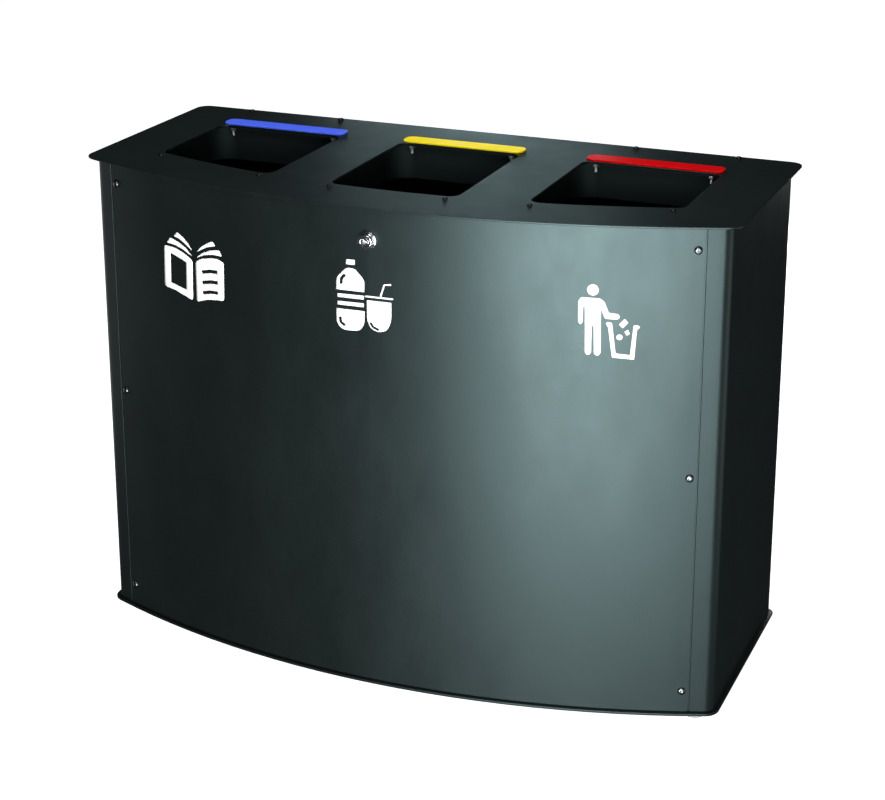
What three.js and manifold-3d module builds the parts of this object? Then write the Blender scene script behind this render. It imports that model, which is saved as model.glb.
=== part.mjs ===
// Three-stream recycling litter bin: a bow-fronted sheet-steel cabinet with a hinged lid plate.
// Millimetres, +Z up, front towards -Y, origin on the floor under the centre of the lid plate.
import * as THREE from 'three';
import { mergeVertices } from 'three/addons/utils/BufferGeometryUtils.js';
import Module from 'manifold-3d';

const wasm = await Module();
wasm.setup();

// ---- driving dimensions ----
const LID_WIDTH = 1036;
const LID_DEPTH = 482;
const LID_TOP = 765;
const LID_THICKNESS = 3;
const LID_CORNER = 28;
const LID_REAR_CORNER = 20;
const BOW_RADIUS = 1330;             // plan radius of the lid's front edge
const SHEET = 2;                     // cabinet sheet thickness
const GAP = 0.3;                     // clearance between pieces that touch
const SIDE_OVERHANG = 15;            // lid past the cabinet, each side
const FRONT_OVERHANG = 15;
const BACK_OVERHANG = 15;
const BASE_OVERHANG = 7;             // base plate past the cabinet
const BASE_THICKNESS = 4;
const BASE_CORNER = 24;
const BASE_REAR_CORNER = 14;
const FOOT_HEIGHT = 14;
const FOOT_RADIUS = 16;
const CABINET_CORNER = 18;           // upright front corner bend
const PANEL_HALF_WIDTH = 468.8;      // front panel edge at the seam
const SEAM = 2.2;
const RETURN_JOGGLE = 2.3;           // the side's flange steps in behind the front panel
const FLANGE_WIDTH = 30;
const TOP_FLANGE = 12;
const LID_CLEARANCE = 2;             // cabinet rim to the lid's underside
const BACK_PANEL_DROP = 5;           // back panel top below the lid's underside, for the hinges

const APERTURE_BACK = 127;           // y of the apertures' straight back edge
const APERTURE_BOW = 1232;           // plan radius of their bowed front edges
const APERTURE_CORNER = 16;
const APERTURES = { left: [-419, -204], centre: [-101, 101], right: [204, 419] };

const STRIP_DEPTH = 32;
const STRIP_THICKNESS = 3;
const STRIP_CORNER = 12;
const CHUTE_SETBACK = 24;            // skirt behind the aperture's edge
const CHUTE_SHEET = 1.5;
const CHUTE_HEIGHT = 60;
const STUD_INSET = 17;
const STUD_SETBACK = 5;
const CHUTE_SCREW_SETBACK = 14;

const LINERS = { left: [-474, -176], centre: [-158, 158], right: [176, 474] };
const LINER_BACK = 204;
const LINER_BOW = 1285;
const LINER_CORNER = 28;
const LINER_WALL = 1.2;
const LINER_RIM = 4;
const LINER_TOP = 640;
const GUIDE_HEIGHT = 36;
const GUIDE_WIDTH = 14;

const LOCK_HEIGHT = 713;             // lock axis above the floor
const LOCK_COLLAR = 14;
const LOCK_HEAD = 11;
const LOCK_BARREL = 9.5;
const LOCK_PLUG = 6;
const CAM_REACH = 36;
const CAM_WIDTH = 14;
const CAM_THICKNESS = 2.5;

const HINGE_X = 336;
const HINGE_PIN = 2.5;
const HINGE_KNUCKLE = 5;
const HINGE_HALF_LENGTH = 98;
const HINGE_SCREW_X = 82;
const HINGE_KNUCKLE_HALF = 46;
const HINGE_MIDDLE_HALF = 18;
const HINGE_LEAF = 2;
const HINGE_BOSS = 3.9;              // threaded boss under each lid screw

const PANEL_SCREW_HEIGHTS = { bottom: 52, middle: 390, top: 728 };
const PANEL_SCREW_INSET = 10;        // screw centre from the panel's edge
const PANEL_SCREW_HOLE = 3.4;
const RIVET_NUT = 6;

// Button-head screws: head radius, head height, shank radius, length under the head.
const PANEL_SCREW = { head: 6, height: 3.3, shank: 3, length: 11 };
const CHUTE_SCREW = { head: 4, height: 1.8, shank: 2, length: 9 };
const HINGE_SCREW = { head: 4.8, height: 2.6, shank: 2.5, length: 7 };

// Steps round the side panel's bends.
const REAR_BEND_STEPS = 4;
const CORNER_STEPS = 8;
const SEAM_STEPS = 3;

// ---- places worked out from them ----
const BACK_Y = LID_DEPTH / 2;
const BOW_CENTRE_Y = BOW_RADIUS - LID_DEPTH / 2;
const LID_UNDERSIDE = LID_TOP - LID_THICKNESS;
const BASE_TOP = FOOT_HEIGHT + BASE_THICKNESS;
const WALL_BOTTOM = BASE_TOP + GAP;
const WALL_TOP = LID_UNDERSIDE - LID_CLEARANCE;
const CABINET_HALF = LID_WIDTH / 2 - SIDE_OVERHANG;
const CABINET_BACK = BACK_Y - BACK_OVERHANG;
const CABINET_BOW = BOW_RADIUS - FRONT_OVERHANG;
const PANEL_FRONT_Y = BOW_CENTRE_Y - CABINET_BOW;
const BACK_PANEL_TOP = LID_UNDERSIDE - BACK_PANEL_DROP;
const PANEL_SCREW_ANGLE = Math.asin((PANEL_HALF_WIDTH - PANEL_SCREW_INSET) / CABINET_BOW);
const HINGE_AXIS_Y = CABINET_BACK + HINGE_KNUCKLE + 1;
const HINGE_AXIS_Z = LID_UNDERSIDE - HINGE_KNUCKLE - 3;
const HINGE_SCREW_Y = BACK_Y - 10.5;

// ---- finishes ----
const finish = (color, roughness, metalness) => ({ color, roughness, metalness });
const GRAPHITE = finish(0x2b3031, 0.42, 0.15);
const BLUE = finish(0x3f57c8, 0.35, 0);
const YELLOW = finish(0xf2c913, 0.35, 0);
const RED = finish(0xb9131b, 0.35, 0);
const GALVANISED = finish(0x9aa0a3, 0.45, 0.85);
const ZINC = finish(0xd8dadb, 0.3, 0.9);
const NICKEL = finish(0xc9c9c6, 0.2, 1);
const BLACK_STEEL = finish(0x17191a, 0.4, 0.6);
const GLIDE = finish(0xd9dad6, 0.4, 0);
const RUBBER = finish(0x141414, 0.8, 0);

const bin = new THREE.Group();

function addMesh(name, body, look) {
  const geometry = body.isBufferGeometry ? body : toGeometry(body);
  const mesh = new THREE.Mesh(geometry, new THREE.MeshStandardMaterial(look));
  mesh.name = name;
  bin.add(mesh);
  return mesh;
}

// ---- solids ----
function toSolid(geometry) {
  const bare = geometry.clone();
  bare.deleteAttribute('normal');
  bare.deleteAttribute('uv');
  const merged = mergeVertices(bare, 1e-4);
  return new wasm.Manifold(new wasm.Mesh({
    numProp: 3,
    vertProperties: new Float32Array(merged.attributes.position.array),
    triVerts: new Uint32Array(merged.index.array),
  }));
}

function toGeometry(solid) {
  const mesh = solid.getMesh();
  const geometry = new THREE.BufferGeometry();
  geometry.setAttribute('position', new THREE.BufferAttribute(mesh.vertProperties, 3));
  geometry.setIndex(new THREE.BufferAttribute(mesh.triVerts, 1));
  geometry.computeVertexNormals();
  return geometry;
}

const join = (first, ...rest) => rest.reduce((sum, piece) => sum.add(piece), first);
const cut = (first, ...rest) => rest.reduce((left, piece) => left.subtract(piece), first);

function prism(points, bottom, top) {
  const geometry = new THREE.ExtrudeGeometry(new THREE.Shape(points), {
    depth: top - bottom, bevelEnabled: false,
  });
  return toSolid(geometry.translate(0, 0, bottom));
}

function box(x0, x1, y0, y1, z0, z1) {
  const geometry = new THREE.BoxGeometry(x1 - x0, y1 - y0, z1 - z0);
  return toSolid(geometry.translate((x0 + x1) / 2, (y0 + y1) / 2, (z0 + z1) / 2));
}

function upright(radius, x, y, z0, z1, sides = 20) {
  const geometry = new THREE.CylinderGeometry(radius, radius, z1 - z0, sides);
  return toSolid(geometry.rotateX(Math.PI / 2).translate(x, y, (z0 + z1) / 2));
}

function crosswise(radius, x0, x1, y, z, sides = 20) {
  const geometry = new THREE.CylinderGeometry(radius, radius, x1 - x0, sides);
  return toSolid(geometry.rotateZ(Math.PI / 2).translate((x0 + x1) / 2, y, z));
}

// A turned piece: the profile is [radius, y] pairs, and the axis runs along Y.
function turned(profile, sides = 24) {
  const points = profile.map(([radius, y]) => new THREE.Vector2(radius, y));
  return toSolid(new THREE.LatheGeometry(points, sides));
}

function regular(radius, sides, start = 0) {
  return Array.from({ length: sides }, (_, i) => {
    const angle = start + (i / sides) * 2 * Math.PI;
    return new THREE.Vector2(radius * Math.cos(angle), radius * Math.sin(angle));
  });
}

// A straight-sided bar along Y, with the given outline in X and Z.
function barAlongY(points, y0, y1) {
  const geometry = new THREE.ExtrudeGeometry(new THREE.Shape(points), {
    depth: y1 - y0, bevelEnabled: false,
  });
  return toSolid(geometry.rotateX(Math.PI / 2).translate(0, y1, 0));
}

// ---- plan outlines ----
function arcPoints(cx, cy, radius, from, to, steps) {
  return Array.from({ length: steps + 1 }, (_, i) => {
    const angle = from + ((to - from) * i) / steps;
    return new THREE.Vector2(cx + radius * Math.cos(angle), cy + radius * Math.sin(angle));
  });
}

// Centre of the fillet between an upright side at x = edge and the bow, and where it meets the bow.
function bowFillet(edge, bow, radius) {
  const cx = edge - Math.sign(edge) * radius;
  return filletAt(cx, bow, radius);
}

function filletAt(cx, bow, radius) {
  const cy = BOW_CENTRE_Y - Math.sqrt((bow - radius) ** 2 - cx ** 2);
  return { cx, cy, angle: Math.atan2(cy - BOW_CENTRE_Y, cx) };
}

// Four-sided outline with straight sides and back and a bowed front, concentric with the lid's.
function bowedOutline([x0, x1], back, bow, frontCorner, backCorner = frontCorner, bowSteps = 24) {
  const left = filletAt(x0 + frontCorner, bow, frontCorner);
  const right = filletAt(x1 - frontCorner, bow, frontCorner);
  const quarter = Math.PI / 2;
  return [
    ...arcPoints(0, BOW_CENTRE_Y, bow, left.angle, right.angle, bowSteps),
    ...arcPoints(right.cx, right.cy, frontCorner, right.angle, 0, 5).slice(1),
    ...arcPoints(x1 - backCorner, back - backCorner, backCorner, 0, quarter, 5),
    ...arcPoints(x0 + backCorner, back - backCorner, backCorner, quarter, 2 * quarter, 5),
    ...arcPoints(left.cx, left.cy, frontCorner, 2 * quarter, left.angle + 4 * quarter, 5).slice(0, -1),
  ];
}

const symmetric = (half) => [-half, half];

function apertureOutline([x0, x1], grow) {
  return bowedOutline([x0 - grow, x1 + grow], APERTURE_BACK + grow, APERTURE_BOW + grow,
    APERTURE_CORNER + grow, APERTURE_CORNER + grow, 10);
}

function linerOutline([x0, x1], grow) {
  return bowedOutline([x0 - grow, x1 + grow], LINER_BACK + grow, LINER_BOW + grow,
    LINER_CORNER + grow, LINER_CORNER + grow, 10);
}

const bowY = (x, bow) => BOW_CENTRE_Y - Math.sqrt(bow ** 2 - x ** 2);

// Each point of a path moved sideways, to the left of its run, by the same distance.
function offsetPath(path, distance) {
  const normal = (a, b) => new THREE.Vector2(a.y - b.y, b.x - a.x).normalize();
  return path.map((point, i) => {
    const before = normal(path[Math.max(i - 1, 0)], path[Math.max(i, 1)]);
    const after = normal(path[Math.min(i, path.length - 2)], path[Math.min(i + 1, path.length - 1)]);
    const mitre = before.clone().add(after).normalize();
    return point.clone().addScaledVector(mitre, distance / mitre.dot(after));
  });
}

function bentSheet(path, thickness, bottom, top) {
  return prism([...path, ...offsetPath(path, thickness).reverse()], bottom, top);
}

const mirrored = (solid) => solid.mirror([1, 0, 0]);

// Moves a piece made round the Y axis out to the bow: its -Y end faces away from the cabinet.
function placeOnBow(object, angle, bow, height) {
  object.position.set(bow * Math.sin(angle), BOW_CENTRE_Y - bow * Math.cos(angle), height);
  object.rotation.z = angle;
}

function solidOnBow(solid, angle, bow, height) {
  return solid.rotate([0, 0, THREE.MathUtils.radToDeg(angle)])
    .translate([bow * Math.sin(angle), BOW_CENTRE_Y - bow * Math.cos(angle), height]);
}

const rod = (radius, y0, y1, sides = 20) => turned([[0, y0], [radius, y0], [radius, y1], [0, y1]], sides);

// Button-head screw with a hexagon socket; the head's seat is at y = 0 and the head is on the -Y side.
function buttonScrew({ head, height, shank, length }, sides = 18) {
  const socket = shank * 0.36;
  const seat = -GAP;
  const profile = [
    [0, seat - height], [head * 0.5, seat - height], [head * 0.82, seat - height * 0.68],
    [head, seat - height * 0.2], [head, seat], [shank, seat], [shank, length], [0, length],
  ];
  const recess = barAlongY(regular(socket, 6), seat - height - 1, seat - height * 0.35);
  return cut(turned(profile, sides), recess);
}

// ---- cabinet ----
const FOOT_X = CABINET_HALF - 31;
const FOOT_BACK_Y = CABINET_BACK - 34;
const FOOT_FRONT_Y = bowY(FOOT_X, BOW_RADIUS - FRONT_OVERHANG + BASE_OVERHANG) + 34;
const FOOT_SPIGOT = 4;
const FEET = {
  front_left: [-FOOT_X, FOOT_FRONT_Y],
  front_right: [FOOT_X, FOOT_FRONT_Y],
  back_left: [-FOOT_X, FOOT_BACK_Y],
  back_right: [FOOT_X, FOOT_BACK_Y],
};

function basePlate() {
  const outline = bowedOutline(symmetric(CABINET_HALF + BASE_OVERHANG), CABINET_BACK + BASE_OVERHANG,
    CABINET_BOW + BASE_OVERHANG, BASE_CORNER, BASE_REAR_CORNER);
  const spigotHoles = Object.values(FEET).map(
    ([x, y]) => upright(FOOT_SPIGOT + GAP, x, y, FOOT_HEIGHT - 1, BASE_TOP + 1));
  return cut(prism(outline, FOOT_HEIGHT, BASE_TOP), ...spigotHoles);
}

function foot() {
  const seat = FOOT_HEIGHT - GAP;
  const profile = [
    [0, 0], [FOOT_RADIUS * 0.62, 0], [FOOT_RADIUS * 0.9, 2], [FOOT_RADIUS, 5], [FOOT_RADIUS, 9],
    [FOOT_RADIUS * 0.8, seat], [FOOT_SPIGOT, seat], [FOOT_SPIGOT, BASE_TOP - 0.5], [0, BASE_TOP - 0.5],
  ];
  return turned(profile, 24).rotate([90, 0, 0]);
}

// The right side's outer face in plan, from its rear flange round to the flange behind the front panel.
function sidePath() {
  const rearFlangeY = CABINET_BACK - SHEET - GAP;
  const rearBend = 4;
  const corner = bowFillet(CABINET_HALF, CABINET_BOW, CABINET_CORNER);
  const seamX = PANEL_HALF_WIDTH + SEAM;
  const angleAt = (x, bow) => -Math.PI / 2 + Math.asin(x / bow);
  const flangeBow = CABINET_BOW - RETURN_JOGGLE;
  return [
    new THREE.Vector2(CABINET_HALF - 26, rearFlangeY),
    ...arcPoints(CABINET_HALF - rearBend, rearFlangeY - rearBend, rearBend, Math.PI / 2, 0,
      REAR_BEND_STEPS),
    ...arcPoints(corner.cx, corner.cy, CABINET_CORNER, 0, corner.angle, CORNER_STEPS),
    ...arcPoints(0, BOW_CENTRE_Y, CABINET_BOW, corner.angle, angleAt(seamX, CABINET_BOW),
      SEAM_STEPS).slice(1),
    ...arcPoints(0, BOW_CENTRE_Y, flangeBow, angleAt(seamX - 1, flangeBow),
      angleAt(seamX - FLANGE_WIDTH, flangeBow), SEAM_STEPS),
  ];
}

function sidePanel() {
  const path = sidePath();
  const wall = bentSheet(path, -SHEET, WALL_BOTTOM, WALL_TOP);
  const rimStart = REAR_BEND_STEPS + 1;
  const rimPath = path.slice(rimStart, rimStart + CORNER_STEPS + SEAM_STEPS + 1);
  const rim = bentSheet(rimPath, -TOP_FLANGE, WALL_TOP - SHEET, WALL_TOP);
  const screwHoles = [];
  const nuts = [];
  const seatBow = CABINET_BOW - RETURN_JOGGLE - SHEET;
  for (const height of Object.values(PANEL_SCREW_HEIGHTS)) {
    nuts.push(solidOnBow(rod(RIVET_NUT, -0.5, 4, 6), PANEL_SCREW_ANGLE, seatBow, height));
    screwHoles.push(solidOnBow(rod(PANEL_SCREW_HOLE, -8, 8, 12), PANEL_SCREW_ANGLE, seatBow, height));
  }
  return cut(join(wall, rim, ...nuts), ...screwHoles);
}

function backPanel() {
  return box(-CABINET_HALF + 3, CABINET_HALF - 3, CABINET_BACK - SHEET, CABINET_BACK,
    WALL_BOTTOM, BACK_PANEL_TOP);
}

function frontPanel() {
  const wallEnd = Math.asin(PANEL_HALF_WIDTH / CABINET_BOW) - Math.PI / 2;
  const sheetBand = (outer, inner, half, bottom, top) => prism([
    ...arcPoints(0, BOW_CENTRE_Y, outer, -Math.PI - half, half, 28),
    ...arcPoints(0, BOW_CENTRE_Y, inner, half, -Math.PI - half, 28),
  ], bottom, top);
  const wall = sheetBand(CABINET_BOW, CABINET_BOW - SHEET, wallEnd, WALL_BOTTOM, WALL_TOP);
  const rimEnd = Math.asin((PANEL_HALF_WIDTH - FLANGE_WIDTH - 4) / CABINET_BOW) - Math.PI / 2;
  const rim = sheetBand(CABINET_BOW - SHEET / 2, CABINET_BOW - TOP_FLANGE, rimEnd,
    WALL_TOP - SHEET, WALL_TOP);
  const holes = [];
  for (const height of Object.values(PANEL_SCREW_HEIGHTS)) {
    for (const side of [-1, 1]) {
      const hole = rod(PANEL_SCREW_HOLE, -8, 8, 12);
      holes.push(solidOnBow(hole, side * PANEL_SCREW_ANGLE, CABINET_BOW, height));
    }
  }
  const lockHole = rod(LOCK_BARREL + GAP, PANEL_FRONT_Y - 5, PANEL_FRONT_Y + 8, 24);
  return cut(join(wall, rim), ...holes, lockHole.translate([0, 0, LOCK_HEIGHT]));
}

function addPanelScrews() {
  const screw = toGeometry(buttonScrew(PANEL_SCREW));
  for (const [level, height] of Object.entries(PANEL_SCREW_HEIGHTS)) {
    for (const [side, sign] of [['left', -1], ['right', 1]]) {
      const mesh = addMesh(`panel_screw_${side}_${level}`, screw.clone(), BLACK_STEEL);
      placeOnBow(mesh, sign * PANEL_SCREW_ANGLE, CABINET_BOW, height);
    }
  }
}

// ---- liners and the channels they slide between ----
function liner(span) {
  const bottom = BASE_TOP + GAP;
  const shell = cut(prism(linerOutline(span, 0), bottom, LINER_TOP),
    prism(linerOutline(span, -LINER_WALL), bottom + LINER_WALL, LINER_TOP + 1));
  const rimBottom = LINER_TOP - 9;
  const rim = cut(prism(linerOutline(span, LINER_RIM), rimBottom, LINER_TOP),
    prism(linerOutline(span, -LINER_WALL / 2), rimBottom - 1, LINER_TOP + 1));
  const middle = (span[0] + span[1]) / 2;
  const grips = regular(1, 20).map((p) => new THREE.Vector2(
    middle + 16 * p.x + 34 * Math.sign(Math.round(p.x * 1000)), LINER_TOP - 46 + 14 * p.y));
  return cut(join(shell, rim), barAlongY(grips, -BACK_Y, BACK_Y));
}

function linerGuide(x) {
  const half = GUIDE_WIDTH / 2;
  const bottom = BASE_TOP + GAP;
  const outer = box(x - half, x + half, -170, 190, bottom, bottom + GUIDE_HEIGHT);
  const hollow = box(x - half + SHEET, x + half - SHEET, -171, 191, bottom - 1,
    bottom + GUIDE_HEIGHT - SHEET);
  return cut(outer, hollow);
}

// ---- lid ----
function apertureFixings([x0, x1]) {
  const screwY = (x) => bowY(x, APERTURE_BOW + CHUTE_SCREW_SETBACK);
  const screwX = [x0 + 8, x1 - 12];
  return {
    screws: { left: [screwX[0], screwY(screwX[0])], right: [screwX[1], screwY(screwX[1])] },
    studs: {
      left: [x0 + STUD_INSET, APERTURE_BACK + STUD_SETBACK],
      right: [x1 - STUD_INSET, APERTURE_BACK + STUD_SETBACK],
    },
  };
}

const STUD_SHANK = 2.8;
const HINGE_SIDES = { left: -HINGE_X, right: HINGE_X };

const drill = (radius, places, z0, z1) => places.map(([x, y]) => upright(radius, x, y, z0, z1, 12));

function fixingHoles(span, z0, z1) {
  const { screws, studs } = apertureFixings(span);
  return [
    ...drill(CHUTE_SCREW.shank + GAP, Object.values(screws), z0, z1),
    ...drill(STUD_SHANK + GAP, Object.values(studs), z0, z1),
  ];
}

function hingeScrewPlaces() {
  return Object.values(HINGE_SIDES).flatMap(
    (x) => [[x - HINGE_SCREW_X, HINGE_SCREW_Y], [x + HINGE_SCREW_X, HINGE_SCREW_Y]]);
}

function lidPlate() {
  const outline = bowedOutline(symmetric(LID_WIDTH / 2), BACK_Y, BOW_RADIUS, LID_CORNER, LID_REAR_CORNER);
  const openings = Object.values(APERTURES).flatMap((span) => [
    prism(apertureOutline(span, 0), LID_UNDERSIDE - 1, LID_TOP + 1),
    ...fixingHoles(span, LID_UNDERSIDE - 1, LID_TOP + 1),
  ]);
  const hingeHoles = drill(HINGE_SCREW.shank + GAP, hingeScrewPlaces(), LID_UNDERSIDE - 1, LID_TOP + 1);
  return cut(prism(outline, LID_UNDERSIDE, LID_TOP), ...openings, ...hingeHoles);
}

function colourStrip([x0, x1]) {
  const bottom = LID_TOP + GAP;
  const front = APERTURE_BACK + 0.5;
  const back = front + STRIP_DEPTH;
  const r = STRIP_CORNER;
  const quarter = Math.PI / 2;
  const outline = [
    ...arcPoints(x0 + r, front + r, r, 2 * quarter, 3 * quarter, 6),
    ...arcPoints(x1 - r, front + r, r, 3 * quarter, 4 * quarter, 6),
    ...arcPoints(x1 - r, back - r, r, 0, quarter, 6),
    ...arcPoints(x0 + r, back - r, r, quarter, 2 * quarter, 6),
  ];
  return prism(outline, bottom, bottom + STRIP_THICKNESS);
}

// Rectangular skirt under an aperture, hung from an inward flange.
function chute(span) {
  const top = LID_UNDERSIDE - GAP;
  const outer = apertureOutline(span, CHUTE_SETBACK + CHUTE_SHEET);
  const skirt = cut(prism(outer, top - CHUTE_HEIGHT, top),
    prism(apertureOutline(span, CHUTE_SETBACK), top - CHUTE_HEIGHT - 1, top + 1));
  const flange = cut(prism(outer, top - CHUTE_SHEET, top),
    prism(apertureOutline(span, 1), top - CHUTE_SHEET - 1, top + 1));
  return cut(join(skirt, flange), ...fixingHoles(span, top - 5, top + 1));
}

function addChuteFixings(side, span) {
  const { screws, studs } = apertureFixings(span);
  const screw = toGeometry(buttonScrew(CHUTE_SCREW, 14).rotate([-90, 0, 0]));
  for (const [end, [x, y]] of Object.entries(screws)) {
    addMesh(`chute_screw_${side}_${end}`, screw.clone(), BLACK_STEEL).position.set(x, y, LID_TOP);
  }
  const nutTop = -LID_THICKNESS - CHUTE_SHEET - 2 * GAP;
  const nut = prism(regular(5, 6), nutTop - 4, nutTop);
  const stud = toGeometry(join(upright(STUD_SHANK, 0, 0, nutTop - 12, 0, 16), nut));
  for (const [end, [x, y]] of Object.entries(studs)) {
    addMesh(`strip_stud_${side}_${end}`, stud.clone(), ZINC).position.set(x, y, LID_TOP);
  }
}

// Hook under the lid: the lock's cam swings in above its foot.
function lockCatch() {
  const top = LID_UNDERSIDE - GAP;
  const footTop = LOCK_HEIGHT - CAM_WIDTH / 2 - 2;
  const x = 24;
  const stemFront = CAM_FRONT_Y + CAM_THICKNESS + 4;
  const stemBack = stemFront + 19;
  const stem = box(x, x + 2.5, stemFront, stemBack, footTop - 8, top);
  const toe = box(x, x + 2.5, CAM_FRONT_Y - 4, stemFront + 1, footTop - 8, footTop);
  const tab = box(x, x + 34, stemFront, stemBack, top - 2.5, top);
  return join(stem, toe, tab);
}

// ---- hinges ----
function knuckle(x0, x1) {
  return crosswise(HINGE_KNUCKLE, x0, x1, HINGE_AXIS_Y, HINGE_AXIS_Z);
}

const pinBore = (x) => crosswise(HINGE_PIN + GAP, x - HINGE_HALF_LENGTH, x + HINGE_HALF_LENGTH,
  HINGE_AXIS_Y, HINGE_AXIS_Z, 16);

function cabinetLeaf(x) {
  const face = CABINET_BACK + GAP;
  const plate = box(x - HINGE_KNUCKLE_HALF, x + HINGE_KNUCKLE_HALF, face, face + HINGE_LEAF,
    HINGE_AXIS_Z - 44, HINGE_AXIS_Z - HINGE_KNUCKLE - 0.7);
  const neck = box(x - HINGE_MIDDLE_HALF, x + HINGE_MIDDLE_HALF, face, face + HINGE_LEAF,
    HINGE_AXIS_Z - HINGE_KNUCKLE - 2, HINGE_AXIS_Z);
  return cut(join(plate, neck, knuckle(x - HINGE_MIDDLE_HALF, x + HINGE_MIDDLE_HALF)), pinBore(x));
}

function lidLeaf(x) {
  const top = LID_UNDERSIDE - GAP;
  const plate = box(x - HINGE_HALF_LENGTH, x + HINGE_HALF_LENGTH, BACK_Y - 36, BACK_Y - 3.5,
    top - HINGE_LEAF, top);
  const pieces = [plate];
  for (const side of [-1, 1]) {
    const near = x + side * (HINGE_MIDDLE_HALF + 0.6);
    const far = x + side * HINGE_KNUCKLE_HALF;
    const [x0, x1] = [Math.min(near, far), Math.max(near, far)];
    pieces.push(knuckle(x0, x1));
    pieces.push(box(x0, x1, HINGE_AXIS_Y - 1, HINGE_AXIS_Y + HINGE_KNUCKLE, HINGE_AXIS_Z, top - 1));
    pieces.push(upright(HINGE_BOSS, x + side * HINGE_SCREW_X, HINGE_SCREW_Y, BACK_PANEL_TOP + 0.4,
      top - 1, 12));
  }
  const holes = [-1, 1].map((side) => upright(HINGE_SCREW.shank + GAP, x + side * HINGE_SCREW_X,
    HINGE_SCREW_Y, BACK_PANEL_TOP - 3, top + 1, 12));
  return cut(join(...pieces), pinBore(x), ...holes);
}

function addHinge(side, x) {
  addMesh(`hinge_leaf_cabinet_${side}`, cabinetLeaf(x), BLACK_STEEL);
  addMesh(`hinge_leaf_lid_${side}`, lidLeaf(x), BLACK_STEEL);
  addMesh(`hinge_pin_${side}`, crosswise(HINGE_PIN, x - HINGE_KNUCKLE_HALF - 1,
    x + HINGE_KNUCKLE_HALF + 1, HINGE_AXIS_Y, HINGE_AXIS_Z, 16), ZINC);
  const screw = toGeometry(buttonScrew(HINGE_SCREW, 14).rotate([-90, 0, 0]));
  for (const [end, sign] of [['outer', Math.sign(x)], ['inner', -Math.sign(x)]]) {
    const mesh = addMesh(`hinge_screw_${side}_${end}`, screw.clone(), BLACK_STEEL);
    mesh.position.set(x + sign * HINGE_SCREW_X, HINGE_SCREW_Y, LID_TOP);
  }
}

// ---- lock ----
const LOCK_FACE_Y = PANEL_FRONT_Y - 11;
const BARREL_END_Y = PANEL_FRONT_Y + 24;
const CAM_FRONT_Y = BARREL_END_Y + 0.5;
const CAM_SQUARE = 4;

function lockBarrel() {
  const profile = [
    [LOCK_PLUG + GAP, LOCK_FACE_Y], [LOCK_HEAD - 1, LOCK_FACE_Y], [LOCK_HEAD, LOCK_FACE_Y + 1],
    [LOCK_HEAD, PANEL_FRONT_Y - 4], [LOCK_COLLAR - 1, PANEL_FRONT_Y - 3], [LOCK_COLLAR, PANEL_FRONT_Y - 2],
    [LOCK_COLLAR, PANEL_FRONT_Y - GAP], [LOCK_BARREL, PANEL_FRONT_Y - GAP], [LOCK_BARREL, BARREL_END_Y],
    [LOCK_PLUG + GAP, BARREL_END_Y], [LOCK_PLUG + GAP, LOCK_FACE_Y],
  ];
  return turned(profile, 32).translate([0, 0, LOCK_HEIGHT]);
}

function lockNut() {
  const start = PANEL_FRONT_Y + SHEET + GAP;
  const hexagon = barAlongY(regular(14, 6), start, start + 5);
  return cut(hexagon, rod(LOCK_BARREL + GAP, start - 1, start + 6, 24)).translate([0, 0, LOCK_HEIGHT]);
}

function lockPlug() {
  const body = rod(LOCK_PLUG, LOCK_FACE_Y + 1, BARREL_END_Y + 0.2, 24);
  const square = barAlongY(regular(CAM_SQUARE * Math.SQRT2, 4, Math.PI / 4), BARREL_END_Y,
    CAM_FRONT_Y + CAM_THICKNESS + 0.2);
  const keyway = barAlongY(regular(4.6, 3, Math.PI / 2), LOCK_FACE_Y, LOCK_FACE_Y + 8);
  const screwBore = rod(2, CAM_FRONT_Y - 10, CAM_FRONT_Y + 9, 12);
  return cut(join(body, square), keyway, screwBore).translate([0, 0, LOCK_HEIGHT]);
}

function lockCam() {
  const half = CAM_WIDTH / 2;
  const outline = [
    ...arcPoints(0, CAM_REACH - half, half, 0, Math.PI, 8),
    ...arcPoints(0, 0, half + 2, Math.PI, 2 * Math.PI, 8),
  ];
  const blade = barAlongY(outline.map((p) => new THREE.Vector2(p.x, p.y)), CAM_FRONT_Y,
    CAM_FRONT_Y + CAM_THICKNESS);
  const hole = barAlongY(regular((CAM_SQUARE + GAP) * Math.SQRT2, 4, Math.PI / 4), CAM_FRONT_Y - 1,
    CAM_FRONT_Y + CAM_THICKNESS + 1);
  return cut(blade, hole).translate([0, 0, LOCK_HEIGHT]);
}

function camScrew() {
  const seat = CAM_FRONT_Y + CAM_THICKNESS + 2 * GAP;
  return turned([[0, seat - 9], [1.7, seat - 9], [1.7, seat], [6, seat], [6, seat + 1.4], [4.4, seat + 3],
    [0, seat + 3]], 18).translate([0, 0, LOCK_HEIGHT]);
}

// ---- assembly ----
addMesh('base_plate', basePlate(), GRAPHITE);
const right = sidePanel();
addMesh('side_panel_right', right, GRAPHITE);
addMesh('side_panel_left', mirrored(right), GRAPHITE);
addMesh('back_panel', backPanel(), GRAPHITE);
addMesh('front_panel', frontPanel(), GRAPHITE);
addPanelScrews();

const footGeometry = toGeometry(foot());
for (const [corner, [x, y]] of Object.entries(FEET)) {
  addMesh(`foot_${corner}`, footGeometry.clone(), GLIDE).position.set(x, y, 0);
}

for (const [side, span] of Object.entries(LINERS)) {
  addMesh(`liner_${side}`, liner(span), GALVANISED);
}
addMesh('liner_guide_left', linerGuide((LINERS.left[1] + LINERS.centre[0]) / 2), GALVANISED);
addMesh('liner_guide_right', linerGuide((LINERS.right[0] + LINERS.centre[1]) / 2), GALVANISED);

const bufferPlaces = { left: -CABINET_HALF + 8, right: CABINET_HALF - 8 };
for (const [side, x] of Object.entries(bufferPlaces)) {
  addMesh(`lid_buffer_${side}`, upright(4, x, 0, WALL_TOP + GAP, LID_UNDERSIDE - GAP, 16), RUBBER);
}

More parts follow.
